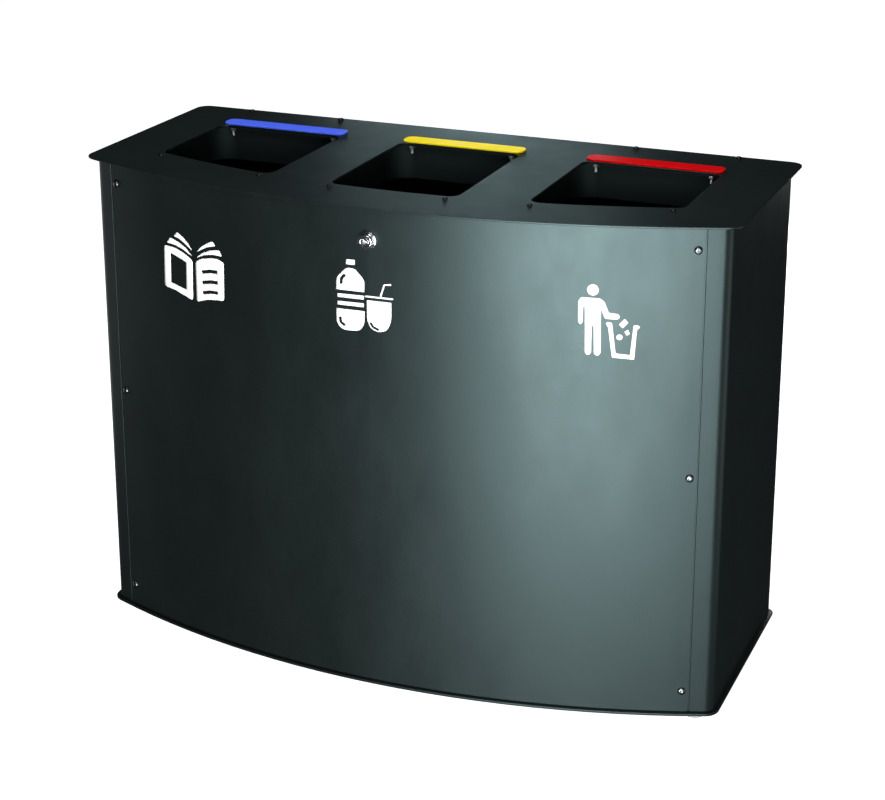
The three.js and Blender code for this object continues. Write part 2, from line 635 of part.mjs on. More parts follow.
addMesh('lid_plate', lidPlate(), GRAPHITE);
const stripLooks = { left: BLUE, centre: YELLOW, right: RED };
for (const [side, span] of Object.entries(APERTURES)) {
  addMesh(`colour_strip_${side}`, colourStrip(span), stripLooks[side]);
  addMesh(`chute_${side}`, chute(span), GRAPHITE);
  addChuteFixings(side, span);
}
addMesh('lock_catch', lockCatch(), ZINC);
for (const [side, x] of Object.entries(HINGE_SIDES)) {
  addHinge(side, x);
}

addMesh('lock_barrel', lockBarrel(), NICKEL);
addMesh('lock_nut', lockNut(), NICKEL);
addMesh('lock_plug', lockPlug(), NICKEL);
addMesh('lock_cam', lockCam(), ZINC);
addMesh('lock_cam_screw', camScrew(), ZINC);

export default bin;
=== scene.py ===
import math

import bmesh
import bpy
from mathutils import Matrix, Vector

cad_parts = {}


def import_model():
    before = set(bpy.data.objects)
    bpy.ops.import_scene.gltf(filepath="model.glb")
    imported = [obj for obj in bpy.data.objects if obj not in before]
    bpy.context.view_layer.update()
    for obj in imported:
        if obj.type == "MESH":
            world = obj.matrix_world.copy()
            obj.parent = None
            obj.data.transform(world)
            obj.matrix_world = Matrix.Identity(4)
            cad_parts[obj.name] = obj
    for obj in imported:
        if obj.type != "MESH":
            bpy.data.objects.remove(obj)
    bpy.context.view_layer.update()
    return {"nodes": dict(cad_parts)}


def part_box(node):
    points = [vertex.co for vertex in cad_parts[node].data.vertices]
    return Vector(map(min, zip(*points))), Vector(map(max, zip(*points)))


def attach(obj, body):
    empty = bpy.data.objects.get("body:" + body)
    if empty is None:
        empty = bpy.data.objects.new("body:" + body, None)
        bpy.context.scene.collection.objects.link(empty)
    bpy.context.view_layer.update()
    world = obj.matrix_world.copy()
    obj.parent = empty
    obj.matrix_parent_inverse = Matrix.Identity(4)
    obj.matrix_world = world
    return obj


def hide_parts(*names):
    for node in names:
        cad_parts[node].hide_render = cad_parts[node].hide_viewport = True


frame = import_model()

MM = 0.001
TAU = 2 * math.pi

# ---- driving dimensions, metres ----
CABINET_BOW = 1.315                  # plan radius of the front panel's face
SEAT_GAP = 0.3 * MM                  # clearance under a screw's head, collar or foot
RING = 48                            # sides of a turned piece: a multiple of 3, 4 and 6
SIDES = ("left", "centre", "right")

# Button-head screws: head radius, head height, shank radius, length under the head.
PANEL_SCREW = (6.0 * MM, 3.3 * MM, 3.0 * MM, 11 * MM)
CHUTE_SCREW = (4 * MM, 1.8 * MM, 2 * MM, 9 * MM)
HINGE_SCREW = (4.8 * MM, 2.6 * MM, 2.5 * MM, 7 * MM)

# Radii that dress() puts on the CAD nodes' sharp edges.
FRONT_EDGE = 0.25 * MM
SMALL_EDGE = 0.3 * MM
THIN_EDGE = 0.4 * MM
SHEET_EDGE = 0.5 * MM
LID_EDGE = 0.8 * MM
BASE_EDGE = 0.9 * MM

SHARP_ANGLE = math.radians(35)       # edges sharper than this are creases
FLAT_ANGLE = math.radians(0.4)       # faces flatter than this to each other are one face
WELD_DISTANCE = 0.01 * MM

front_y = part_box("front_panel")[0].y
bow_centre_y = front_y + CABINET_BOW
lid_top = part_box("lid_plate")[1].z


# ---- materials ----
class Shader:
    """A Principled material and the few node patterns the bin's finishes share."""

    def __init__(self, name, colour, roughness, metallic=0.0):
        self.material = bpy.data.materials.new(name)
        self.material.use_nodes = True
        self.nodes = self.material.node_tree.nodes
        self.links = self.material.node_tree.links
        self.bsdf = self.nodes["Principled BSDF"]
        self.colour = (*colour, 1.0)
        self.bsdf.inputs["Base Color"].default_value = self.colour
        self.bsdf.inputs["Roughness"].default_value = roughness
        self.bsdf.inputs["Metallic"].default_value = metallic
        self.place = self.nodes.new("ShaderNodeTexCoord").outputs["Object"]

    def node(self, kind, settings=None, **inputs):
        made = self.nodes.new(kind)
        for key, value in (settings or {}).items():
            setattr(made, key, value)
        for key, value in inputs.items():
            self.feed(value, made.inputs[key])
        return made

    def feed(self, value, socket):
        if isinstance(value, bpy.types.NodeSocket):
            self.links.new(value, socket)
        else:
            socket.default_value = value

    def noise(self, scale, detail=3.0, roughness=0.5, stretch=None):
        place = self.place
        if stretch:
            place = self.node("ShaderNodeMapping", Vector=place, Scale=stretch).outputs["Vector"]
        made = self.node("ShaderNodeTexNoise", Vector=place, Scale=scale, Detail=detail,
                         Roughness=roughness)
        return made.outputs["Fac"]

    def cells(self, scale):
        return self.node("ShaderNodeTexVoronoi", Vector=self.place, Scale=scale).outputs

    def ramp(self, value, low, high, out_low=0.0, out_high=1.0):
        made = self.node("ShaderNodeMapRange", Value=value)
        limits = {"From Min": low, "From Max": high, "To Min": out_low, "To Max": out_high}
        for key, number in limits.items():
            made.inputs[key].default_value = number
        return made.outputs["Result"]

    def maths(self, operation, first, second):
        made = self.node("ShaderNodeMath", {"operation": operation})
        self.feed(first, made.inputs[0])
        self.feed(second, made.inputs[1])
        return made.outputs["Value"]

    def mix(self, factor, first, second):
        made = self.node("ShaderNodeMix", {"data_type": "RGBA"})
        self.feed(factor, made.inputs[0])
        self.feed(first, made.inputs[6])
        self.feed(second, made.inputs[7])
        return made.outputs[2]

    def edges(self, radius):
        """1 on outer edges, 0 on flat ground."""
        bevel = self.node("ShaderNodeBevel", {"samples": 4}, Radius=radius).outputs["Normal"]
        normal = self.nodes.new("ShaderNodeNewGeometry").outputs["Normal"]
        made = self.node("ShaderNodeVectorMath", {"operation": "DOT_PRODUCT"})
        self.links.new(bevel, made.inputs[0])
        self.links.new(normal, made.inputs[1])
        return self.ramp(made.outputs["Value"], 0.99, 0.8)

    def bump(self, *heights):
        """Each height is (value, distance in metres); they stack."""
        normal = None
        for value, distance in heights:
            made = self.node("ShaderNodeBump", Height=value, Distance=distance)
            made.inputs["Strength"].default_value = 1.0
            if normal:
                self.links.new(normal, made.inputs["Normal"])
            normal = made.outputs["Normal"]
        self.links.new(normal, self.bsdf.inputs["Normal"])

    def set(self, **sockets):
        for key, value in sockets.items():
            self.feed(value, self.bsdf.inputs[key.replace("_", " ")])


POWDER_SPECULAR = 0.35
POWDER_TINT = (0.69, 1.0, 1.02, 1.0)     # the coating's sheen is faintly cyan
STRIP_SPECULAR = 0.05


def powder_coat(name, colour, worn, roughness):
    """Fine-textured paint: close grain, slow waviness, rubbed edges, a little settled dust."""
    s = Shader(name, colour, roughness)
    s.bsdf.inputs["Specular IOR Level"].default_value = POWDER_SPECULAR
    s.bsdf.inputs["Specular Tint"].default_value = POWDER_TINT
    cloud = s.noise(5.0, 4.0, 0.6)
    fine = s.noise(1500.0, 2.0)
    rub = s.maths("MULTIPLY", s.edges(0.0016), s.ramp(s.noise(60.0, 5.0, 0.65), 0.42, 0.62))
    dark = tuple(0.82 * c for c in colour)
    tone = s.mix(s.ramp(cloud, 0.35, 0.65), (*dark, 1.0), (*colour, 1.0))
    speck = s.ramp(s.noise(420.0, 2.0), 0.66, 0.72, 0.0, 0.35)
    tone = s.mix(speck, tone, (*worn, 1.0))
    s.set(Base_Color=s.mix(rub, tone, (*worn, 1.0)))
    smudge = s.ramp(s.noise(9.0, 6.0, 0.7, (1.0, 1.0, 0.45)), 0.3, 0.7, -0.04, 0.05)
    sparkle = s.ramp(fine, 0.3, 0.7, roughness - 0.02, roughness + 0.02)
    s.set(Roughness=s.maths("ADD", smudge, sparkle))
    s.bump((fine, 0.02 * MM), (s.noise(260.0, 2.0), 0.06 * MM), (s.noise(14.0, 2.0), 0.12 * MM))
    return s.material


def painted_strip(name, colour, worn):
    """Smooth gloss paint, a little cloudy, rubbed along its edges."""
    s = Shader(name, colour, 0.17)
    s.bsdf.inputs["Specular IOR Level"].default_value = STRIP_SPECULAR
    cloud = s.ramp(s.noise(22.0, 4.0), 0.3, 0.7)
    shade = tuple(0.92 * c for c in colour)
    tone = s.mix(cloud, (*shade, 1.0), (*colour, 1.0))
    rub = s.maths("MULTIPLY", s.edges(0.001), s.ramp(s.noise(90.0, 4.0), 0.45, 0.6))
    s.set(Base_Color=s.mix(rub, tone, (*worn, 1.0)))
    s.set(Roughness=s.ramp(s.noise(40.0, 5.0, 0.7), 0.3, 0.7, 0.13, 0.21))
    s.bump((s.noise(900.0, 2.0), 0.012 * MM), (s.noise(70.0, 2.0), 0.015 * MM))
    return s.material


def metal(name, colour, roughness):
    """Bright plated metal: fine scratches, cloudy plating, darker in random patches."""
    s = Shader(name, colour, roughness, 1.0)
    cloud = s.noise(70.0, 4.0, 0.6)
    dull = tuple(0.72 * c for c in colour)
    s.set(Base_Color=s.mix(s.ramp(cloud, 0.35, 0.7), (*dull, 1.0), (*colour, 1.0)))
    scratch = s.noise(1300.0, 3.0, 0.6)
    scored = s.ramp(scratch, 0.35, 0.65, -0.05, 0.07)
    plated = s.ramp(cloud, 0.3, 0.7, roughness + 0.05, roughness - 0.04)
    s.set(Roughness=s.maths("ADD", scored, plated))
    s.bump((scratch, 0.008 * MM))
    return s.material


def galvanised(name):
    """Zinc spangle: crystals of differing shade and gloss, with a few drag marks."""
    s = Shader(name, (0.42, 0.44, 0.45), 0.42, 0.85)
    crystal = s.cells(85.0)["Color"]
    grey = s.node("ShaderNodeRGBToBW", Color=crystal).outputs["Val"]
    tone = s.mix(s.ramp(grey, 0.2, 0.8), (0.3, 0.315, 0.325, 1.0), (0.52, 0.54, 0.55, 1.0))
    drag = s.ramp(s.noise(35.0, 5.0, 0.7, (1.0, 1.0, 0.12)), 0.58, 0.7, 0.0, 0.5)
    s.set(Base_Color=s.mix(drag, tone, (0.24, 0.25, 0.26, 1.0)))
    s.set(Roughness=s.ramp(grey, 0.1, 0.9, 0.34, 0.52))
    s.bump((grey, 0.01 * MM), (s.noise(500.0, 2.0), 0.012 * MM))
    return s.material


def moulded(name, colour, roughness, grain=0.02 * MM, dirt=(0.2, 0.19, 0.17)):
    """Moulded plastic or rubber with a fine eggshell surface and grime in patches."""
    s = Shader(name, colour, roughness)
    grime = s.ramp(s.noise(45.0, 5.0, 0.65), 0.52, 0.72, 0.0, 0.45)
    s.set(Base_Color=s.mix(grime, s.colour, (*dirt, 1.0)))
    s.set(Roughness=s.ramp(s.noise(120.0, 3.0), 0.3, 0.7, roughness - 0.06, roughness + 0.08))
    s.bump((s.noise(700.0, 2.0), grain))
    return s.material


GRAPHITE = powder_coat("graphite_powder_coat", (0.0032, 0.0042, 0.0041), (0.012, 0.015, 0.015), 0.39)
CHUTE_PAINT = powder_coat("chute_paint", (0.005, 0.0064, 0.0064), (0.014, 0.016, 0.016), 0.62)
HINGE_PAINT = powder_coat("hinge_paint", (0.0036, 0.0042, 0.0042), (0.022, 0.024, 0.024), 0.46)
BLUE = painted_strip("strip_blue", (0.085, 0.16, 1.0), (0.35, 0.4, 0.9))
YELLOW = painted_strip("strip_yellow", (1.0, 0.8, 0.004), (0.9, 0.85, 0.4))
RED = painted_strip("strip_red", (0.62, 0.0005, 0.002), (0.7, 0.2, 0.18))
ZINC = metal("bright_zinc", (0.86, 0.87, 0.88), 0.38)
NICKEL = metal("lock_nickel", (0.68, 0.71, 0.71), 0.15)
BLACK_OXIDE = metal("black_oxide", (0.03, 0.031, 0.032), 0.36)
SCREW_STEEL = metal("screw_steel", (0.13, 0.145, 0.145), 0.26)
GALVANISED = galvanised("galvanised_sheet")
NYLON = moulded("glide_nylon", (0.3, 0.31, 0.3), 0.4)
RUBBER = moulded("buffer_rubber", (0.018, 0.018, 0.018), 0.75, 0.04 * MM, (0.06, 0.055, 0.05))
VINYL = moulded("white_vinyl", (0.62, 0.63, 0.62), 0.34, 0.006 * MM, (0.7, 0.69, 0.66))


# ---- carried-over CAD nodes ----
def dress(name, material, edge_radius, segments=2):
    """Gives a CAD node its finish, and modifiers that round its sharp edges; its mesh stays as it is."""
    obj = frame["nodes"][name]
    obj.data.materials.clear()
    obj.data.materials.append(material)
    obj.data.polygons.foreach_set("use_smooth", [True] * len(obj.data.polygons))
    weld = obj.modifiers.new("weld", "WELD")
    weld.merge_threshold = WELD_DISTANCE
    flat = obj.modifiers.new("flat_faces", "DECIMATE")
    flat.decimate_type = "DISSOLVE"
    flat.angle_limit = FLAT_ANGLE
    edge = obj.modifiers.new("edge_radius", "BEVEL")
    edge.width = edge_radius
    edge.segments = segments
    edge.limit_method = "ANGLE"
    edge.angle_limit = SHARP_ANGLE
    edge.miter_outer = "MITER_ARC"
    edge.use_clamp_overlap = False
    even = obj.modifiers.new("even_shading", "WEIGHTED_NORMAL")
    even.keep_sharp = False
    even.weight = 100


# ---- turned and lofted pieces ----
def ring_radius(sides, apothem, angle):
    """Distance from the axis to a regular polygon's edge; sides = 0 is a circle."""
    if not sides:
        return apothem
    half = math.pi / sides
    return apothem / math.cos((angle % (2 * half)) - half)


def loft(name, rings, material, closed=False):
    """Stacks rings of (sides, radius, height) along Z; a ring of radius 0 is a point.

    An open stack starts and ends with a point; a closed one joins its last ring to its first.
    """
    mesh = bmesh.new()
    loops = []
    for sides, radius, height in rings:
        if radius == 0:
            loops.append([mesh.verts.new((0, 0, height))])
            continue
        loop = []
        for i in range(RING):
            angle = TAU * i / RING
            reach = ring_radius(sides, radius, angle)
            loop.append(mesh.verts.new((reach * math.cos(angle), reach * math.sin(angle), height)))
        loops.append(loop)
    pairs = list(zip(loops, loops[1:]))
    if closed:
        pairs.append((loops[-1], loops[0]))
    for low, high in pairs:
        for i in range(RING):
            j = (i + 1) % RING
            corners = [low[i % len(low)], low[j % len(low)], high[j % len(high)], high[i % len(high)]]
            mesh.faces.new(list(dict.fromkeys(corners)))
    bmesh.ops.recalc_face_normals(mesh, faces=mesh.faces)
    return to_object(name, mesh, material)


def to_object(name, mesh, material):
    data = bpy.data.meshes.new(name)
    mesh.to_mesh(data)
    mesh.free()
    data.polygons.foreach_set("use_smooth", [True] * len(data.polygons))
    data.set_sharp_from_angle(angle=SHARP_ANGLE)
    data.materials.append(material)
    obj = bpy.data.objects.new(name, data)
    bpy.context.scene.collection.objects.link(obj)
    return obj


def stand_in(obj, body, node):
    """The piece rides on the body and stands for the CAD node, which it hides."""
    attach(obj, body)
    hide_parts(node)


def arc_rings(radius, height, start, end, steps, centre_radius, centre_height):
    """Rings of a round in profile, radius wide and height high; degrees from outward towards +Z."""
    rings = []
    for i in range(steps + 1):
        a = math.radians(start + (end - start) * i / steps)
        rings.append((0, centre_radius + radius * math.cos(a), centre_height + height * math.sin(a)))
    return rings


def button_rings(head, height, shank, length):
    """Button-head screw with a hexagon socket: head up, seat at z = 0."""
    key = shank * 0.62                                   # hexagon's half width
    floor = height * 0.35                                # socket's floor above the seat
    crown = arc_rings(head * 0.62, height * 0.96, 0, 78, 8, head * 0.38, height * 0.04)
    return [
        (0, 0, -length), (0, shank * 0.8, -length), (0, shank, -length + shank * 0.2),
        (0, shank, 0), (0, head * 0.97, 0), *crown,
        (0, key * 1.3, height), (6, key * 1.06, height), (6, key, height - 0.15 * MM),
        (6, key, floor + 0.1 * MM), (6, key * 0.9, floor), (0, 0, floor - key * 0.25),
    ]


def face_along(obj, angle, radius, height):
    """Turns a piece made along +Z to face out of the bowed front, at that plan radius."""
    turn = Matrix.Rotation(angle, 4, "Z") @ Matrix.Rotation(math.radians(90), 4, "X")
    obj.matrix_world = Matrix.Translation(on_bow(angle, radius, height)) @ turn


def on_bow(angle, radius, height):
    return Vector((radius * math.sin(angle), bow_centre_y - radius * math.cos(angle), height))


def middle(node):
    low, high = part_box(node)
    return (low + high) / 2


# ---- screws, studs, feet, lock ----
def panel_screw(node):
    centre = middle(node)
    angle = math.atan2(centre.x, bow_centre_y - centre.y)
    piece = loft(node + "_detail", button_rings(*PANEL_SCREW), SCREW_STEEL)
    face_along(piece, angle, CABINET_BOW + SEAT_GAP, centre.z)
    stand_in(piece, "cabinet", node)


def lid_screw(node, size):
    centre = middle(node)
    piece = loft(node + "_detail", button_rings(*size), BLACK_OXIDE)
    piece.matrix_world = Matrix.Translation((centre.x, centre.y, lid_top + SEAT_GAP))
    stand_in(piece, "lid", node)


def threaded_rings(radius, bottom, top, pitch):
    """A thread's crests and roots, chamfered at the free end."""
    depth = 0.55 * pitch
    turns = int((top - bottom) / pitch)
    rings = [(0, 0, bottom), (0, radius - 1.3 * depth, bottom)]
    for i in range(turns):
        z = bottom + (i + 0.5) * pitch
        crest = radius - (0.5 * depth if i == 0 else 0)
        rings += [(0, crest, z), (0, crest, z + 0.15 * pitch), (0, radius - depth, z + 0.55 * pitch)]
    return rings + [(0, radius, top)]


def hex_nut_rings(apothem, bore, bottom, top):
    """Closed profile of a nut: chamfered outside, countersunk bore."""
    corner = apothem / math.cos(math.pi / 6)
    chamfer = (corner - apothem) * 0.54
    sink = 0.3 * MM
    return [
        (0, bore + sink, bottom), (0, apothem * 0.97, bottom), (6, apothem, bottom + chamfer),
        (6, apothem, top - chamfer), (0, apothem * 0.97, top), (0, bore + sink, top),
        (0, bore, top - sink), (0, bore, bottom + sink),
    ]


def stud(node):
    """A threaded stud down through the lid, with its nut under the skirt's flange."""
    low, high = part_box(node)
    centre = (low + high) / 2
    radius, pitch, fit = 2.8 * MM, 0.8 * MM, 0.02 * MM
    nut_apothem, nut_height = 4.33 * MM, 4 * MM
    nut_top = lid_top - 5.1 * MM
    rings = threaded_rings(radius, low.z, nut_top, pitch) + [(0, radius, high.z), (0, 0, high.z)]
    shank = loft(node + "_thread", rings, ZINC)
    nut_rings = hex_nut_rings(nut_apothem, radius + fit, nut_top - nut_height, nut_top)
    nut = loft(node + "_nut", nut_rings, ZINC, closed=True)
    shank.matrix_world = nut.matrix_world = Matrix.Translation((centre.x, centre.y, 0))
    for piece in (shank, nut):
        stand_in(piece, "lid", node)


def foot(node):
    """A moulded glide: rounded tread, stepped shoulder, a spigot up into the base plate."""
    low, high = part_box(node)
    centre = (low + high) / 2
    radius = (high.x - low.x) / 2
    tread, tread_round, spigot = radius * 0.6, 5.5 * MM, 4 * MM
    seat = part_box("base_plate")[0].z - SEAT_GAP
    rings = [(0, 0, 0), (0, tread, 0)]
    rings += arc_rings(radius - tread, tread_round, -90, 0, 6, tread, tread_round)[1:]
    rings += [(0, radius, 8.0 * MM), (0, radius * 0.985, 8.4 * MM), (0, radius * 0.94, 8.6 * MM),
              (0, radius * 0.94, 9.4 * MM), (0, radius * 0.9, 9.8 * MM), (0, radius * 0.8, seat - 1 * MM),
              (0, radius * 0.76, seat), (0, spigot, seat), (0, spigot, high.z), (0, 0, high.z)]
    piece = loft(node + "_glide", rings, NYLON)
    piece.matrix_world = Matrix.Translation((centre.x, centre.y, 0))
    stand_in(piece, "cabinet", node)


def lock_placement():
    """Lays a piece made along +Z on the lock's axis, pointing out of the front."""
    axis_z = middle("lock_barrel").z
    return Matrix.Translation((0, 0, axis_z)) @ Matrix.Rotation(math.radians(90), 4, "X")


def lock_barrel():
    """The barrel through the panel, its collar on the panel's face, and its rounded head."""
    low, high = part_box("lock_barrel")
    face, rear = -low.y, -high.y                         # local +Z points out of the front
    collar_base = SEAT_GAP - front_y
    collar, collar_round = 14 * MM, 1.1 * MM
    head, head_round = 11 * MM, 1.4 * MM
    barrel, bore = 9.5 * MM, 6.25 * MM
    rings = [(0, bore, rear), (0, barrel, rear), (0, barrel, collar_base), (0, collar, collar_base)]
    rings += arc_rings(collar_round, collar_round, 0, 90, 4, collar - collar_round,
                       collar_base + collar_round)
    rings += [(0, head + 0.5 * MM, collar_base + 2.3 * MM), (0, head, collar_base + 2.9 * MM)]
    rings += arc_rings(head_round, head_round, 0, 90, 5, head - head_round, face - head_round)
    rings += [(0, bore + 1.2 * MM, face), (0, bore + 0.9 * MM, face - 0.6 * MM), (0, bore, face - 0.8 * MM)]
    piece = loft("lock_barrel_detail", rings, NICKEL, closed=True)
    piece.matrix_world = lock_placement()
    stand_in(piece, "cabinet", "lock_barrel")


def lock_plug():
    """The turning plug: a three-sided recess in its face, a square tail for the cam."""
    low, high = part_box("lock_plug")
    front, tail_end = -low.y, -high.y
    shoulder = -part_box("lock_barrel")[1].y - 0.2 * MM
    plug, plug_round, tail = 5.95 * MM, 0.5 * MM, 4 * MM
    recess, recess_mouth, recess_depth = 2.2 * MM, 2.6 * MM, 6 * MM
    rings = [(0, 0, tail_end), (4, tail, tail_end), (4, tail, shoulder), (0, plug, shoulder)]
    rings += arc_rings(plug_round, plug_round, 0, 90, 3, plug - plug_round, front - plug_round)
    rings += [(0, 4.9 * MM, front), (3, recess_mouth, front), (3, recess, front - 0.3 * MM),
              (3, recess, front - recess_depth), (0, 0, front - recess_depth - 0.5 * MM)]
    piece = loft("lock_plug_detail", rings, NICKEL)
    piece.matrix_world = lock_placement()
    stand_in(piece, "lock", "lock_plug")


# ---- pictograms: thin vinyl laid on the bowed front ----
VINYL_THICKNESS = 0.3 * MM
VINYL_GAP = 0.05 * MM                    # under the vinyl
BEND_STEP = 5 * MM                       # width of the flat strips that follow the bow
CORNER_STEPS = 4
DISC_STEPS = 28

# Anchors on the front, (x along the bow, z), in metres.
BOOK_PLACE = (-0.305, 0.640)
BOTTLE_PLACE = (0.004, 0.640)
PERSON_PLACE = (0.350, 0.620)


def rounded(points, radius):
    """A closed outline with each corner eased by up to radius, or by the point's own third number."""
    out = []
    count = len(points)
    for i, point in enumerate(points):
        here = Vector(point[:2])
        before = Vector(points[i - 1][:2]) - here
        after = Vector(points[(i + 1) % count][:2]) - here
        ease = point[2] if len(point) > 2 else radius
        reach = min(ease, before.length * 0.45, after.length * 0.45)
        start, end = here + before.normalized() * reach, here + after.normalized() * reach
        for k in range(CORNER_STEPS + 1):
            t = k / CORNER_STEPS
            out.append((1 - t) ** 2 * start + 2 * t * (1 - t) * here + t * t * end)
    return out


def disc(x, y, radius):
    turns = [TAU * i / DISC_STEPS for i in range(DISC_STEPS)]
    return [Vector((x + radius * math.cos(turn), y + radius * math.sin(turn))) for turn in turns]


def stroke(points, width):
    """A bent line of even width with rounded ends."""
    path = [Vector(p) for p in points]
    half = width / 2
    left, right = [], []
    for i, here in enumerate(path):
        along = (path[min(i + 1, len(path) - 1)] - path[max(i - 1, 0)]).normalized()
        across = Vector((-along.y, along.x)) * half
        left.append(here + across)
        right.append(here - across)
    return rounded(left + right[::-1], half * 0.9)


def vinyl(name, place, outlines):
    """Cuts the outlines (mm, from the anchor) out of one sheet; an outline inside another is a hole."""
    curve = bpy.data.curves.new(name, "CURVE")
    curve.dimensions = "2D"
    curve.fill_mode = "FRONT"
    for outline in outlines:
        spline = curve.splines.new("POLY")
        spline.points.add(len(outline) - 1)
        for point, target in zip(outline, spline.points):
            target.co = (point[0] * MM + place[0], point[1] * MM + place[1], 0, 1)
        spline.use_cyclic_u = True
    flat = bpy.data.objects.new(name + "_flat", curve)
    bpy.context.scene.collection.objects.link(flat)
    bpy.context.view_layer.update()
    data = bpy.data.meshes.new_from_object(flat.evaluated_get(bpy.context.evaluated_depsgraph_get()))
    bpy.data.objects.remove(flat)
    mesh = bmesh.new()
    mesh.from_mesh(data)
    bmesh.ops.remove_doubles(mesh, verts=mesh.verts, dist=1e-6)
    low = min(v.co.x for v in mesh.verts)
    high = max(v.co.x for v in mesh.verts)
    for i in range(1, int((high - low) / BEND_STEP) + 1):
        bmesh.ops.bisect_plane(mesh, geom=[*mesh.verts, *mesh.edges, *mesh.faces],
                               plane_co=(low + i * BEND_STEP, 0, 0), plane_no=(1, 0, 0))
    for vert in mesh.verts:
        vert.co = on_bow(vert.co.x / CABINET_BOW, CABINET_BOW + VINYL_GAP, vert.co.y)
    bmesh.ops.recalc_face_normals(mesh, faces=mesh.faces)
    piece = to_object(name, mesh, VINYL)
    if piece.data.polygons[0].normal.y > 0:
        piece.data.flip_normals()
    sheet = piece.modifiers.new("film", "SOLIDIFY")
    sheet.thickness = VINYL_THICKNESS
    sheet.offset = 1.0
    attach(piece, "cabinet")


def book():
    page = rounded([(-60, 11), (-62, -54), (-38, -57), (-4, -67), (-2, -3), (-17, 4.6), (-36, 10.4)], 5)
    window = rounded([(-47, 1), (-48.5, -46), (-16.5, -52), (-15, -8)], 2)
    text_page = rounded([(4, -4), (14, 2), (30, 6), (46, 8), (59, 4), (57.5, -56), (44, -57), (24, -60),
                         (4, -67)], 4)
    lines = [stroke([(16, z), (32, z + 4), (46.5, z + 5)], 5.4) for z in (-18, -34.5, -50.5)]
    leaves = [
        [(-54, 16), (-47, 25), (-30, 21), (-14, 13.5), (-2, 3), (-18, 10), (-36, 15)],
        [(-39, 28.5), (-32, 36), (-20, 30), (-10, 22), (-2, 12), (-17, 21), (-29, 27)],
        [(6, 2.5), (16, 11), (33, 18.5), (51, 22), (56, 13), (38.5, 13), (21.5, 9.5)],
        [(7, 12), (17, 22), (31, 30.5), (39, 33.5), (44, 27), (28, 23)],
    ]
    vinyl("pictogram_book", BOOK_PLACE,
          [page, window, text_page, *lines, *(rounded(leaf, 2.5) for leaf in leaves)])


def bottle_and_cup():
    cap = rounded([(-38, 41), (-24, 41.5), (-24.5, 34), (-38.5, 33.5)], 1.5)
    shoulders = rounded([(-54.5, -6, 1), (-54, 10), (-51, 15), (-38, 28.5), (-25, 28.5), (-12, 15.5),
                         (-9.5, 11), (-10, -5, 1)], 4)
    bands = [rounded([(-53, z), (-11, z + 1.3), (-11, z - 4.4), (-53, z - 5.5)], 1) for z in (-12, -23.5)]
    foot_part = rounded([(-55, -35, 1), (-10, -33.8, 1), (-10.2, -53), (-17, -64), (-29, -66), (-46, -66),
                         (-54.7, -57)], 7)
    glints = [stroke([(-40, 18), (-46.3, 11.5), (-47, 3)], 4.6),
              stroke([(-49, -47), (-48.5, -55), (-41, -59.6)], 4.6),
              stroke([(-1, -49.5), (3, -56), (12.5, -59.5)], 3.8)]
    cup_lid = stroke([(-9.5, -11), (35, -10.3)], 2.4)
    straw = stroke([(15.2, -9), (21.3, 9.5), (32, 10.8)], 2.6)
    cup = rounded([(-6, -16.5, 1), (32, -16, 1), (31.7, -45), (25, -59), (13, -63), (0, -59.5),
                   (-6, -47)], 9)
    vinyl("pictogram_bottle", BOTTLE_PLACE,
          [cap, shoulders, *bands, foot_part, *glints, cup_lid, straw, cup])


def person_and_bin():
    head = disc(-23.4, 47.2, 8.2)
    figure = rounded([(-43.6, 30), (-40, 36), (-12.5, 35), (-6.5, 30), (-0.5, 14.6), (12.5, 13.6),
                      (15.4, 9.5), (12.5, 5.3), (-6, 5.8), (-11.6, 19.5), (-10.4, -45), (-14, -49),
                      (-17, -49), (-20.2, -46), (-21.4, -5.5), (-23.8, -5.7), (-23.8, -45), (-27, -48.5),
                      (-30, -48.5), (-33, -45), (-34, 22), (-36.2, 22), (-36.6, -1), (-39.6, -4.5),
                      (-43, -1)], 2.6)
    scraps = [rounded([(21.8, 6.8), (26.9, 1.3), (19.2, -7.6), (13.7, -1.9)], 0.8),
              rounded([(21.3, -12.1), (26.6, -9.2), (29.5, -15), (24.8, -17.9)], 0.8),
              disc(15, -20.6, 4.3)]
    bucket = rounded([(-5, -1), (-2, 1.5), (4.2, 0.2), (10.2, -44.4), (30.2, -46.4), (34, -2.4), (40, -1.8),
                      (43.3, -5), (39, -9), (36.3, -53.2), (5, -50.8), (-1.2, -6.3)], 1.6)
    vinyl("pictogram_person", PERSON_PLACE, [head, figure, *scraps, bucket])


# ---- stage, lights, camera ----
WHITE = (1, 1, 1)
COOL = (0.72, 1.0, 1.04)
FLOOR_HALF = 14
LIGHT_TARGET = Vector((0, 0, 0.45))      # about the middle of the cabinet
LIGHT_DISTANCE = 3.0


def direction(azimuth, elevation):
    """Degrees: azimuth 0 is the front, 90 the right side."""
    a, e = math.radians(azimuth), math.radians(elevation)
    return Vector((math.sin(a) * math.cos(e), -math.cos(a) * math.cos(e), math.sin(e)))


def floor():
    """Plain white ground that lights itself and stays out of the cabinet's reflections and shade."""
    s = Shader("studio_floor", (0.8, 0.8, 0.8), 0.85)
    s.set(Roughness=s.ramp(s.noise(3.0, 3.0), 0.3, 0.7, 0.8, 0.92))
    s.bsdf.inputs["Specular IOR Level"].default_value = 0.2
    s.bsdf.inputs["Emission Color"].default_value = (1, 1, 1, 1)
    s.bsdf.inputs["Emission Strength"].default_value = 1.0
    mesh = bmesh.new()
    bmesh.ops.create_grid(mesh, x_segments=2, y_segments=2, size=FLOOR_HALF)
    obj = to_object("floor", mesh, s.material)
    obj.visible_glossy = False
    obj.visible_diffuse = False
    obj.visible_shadow = False                           # lights below it still reach the cabinet


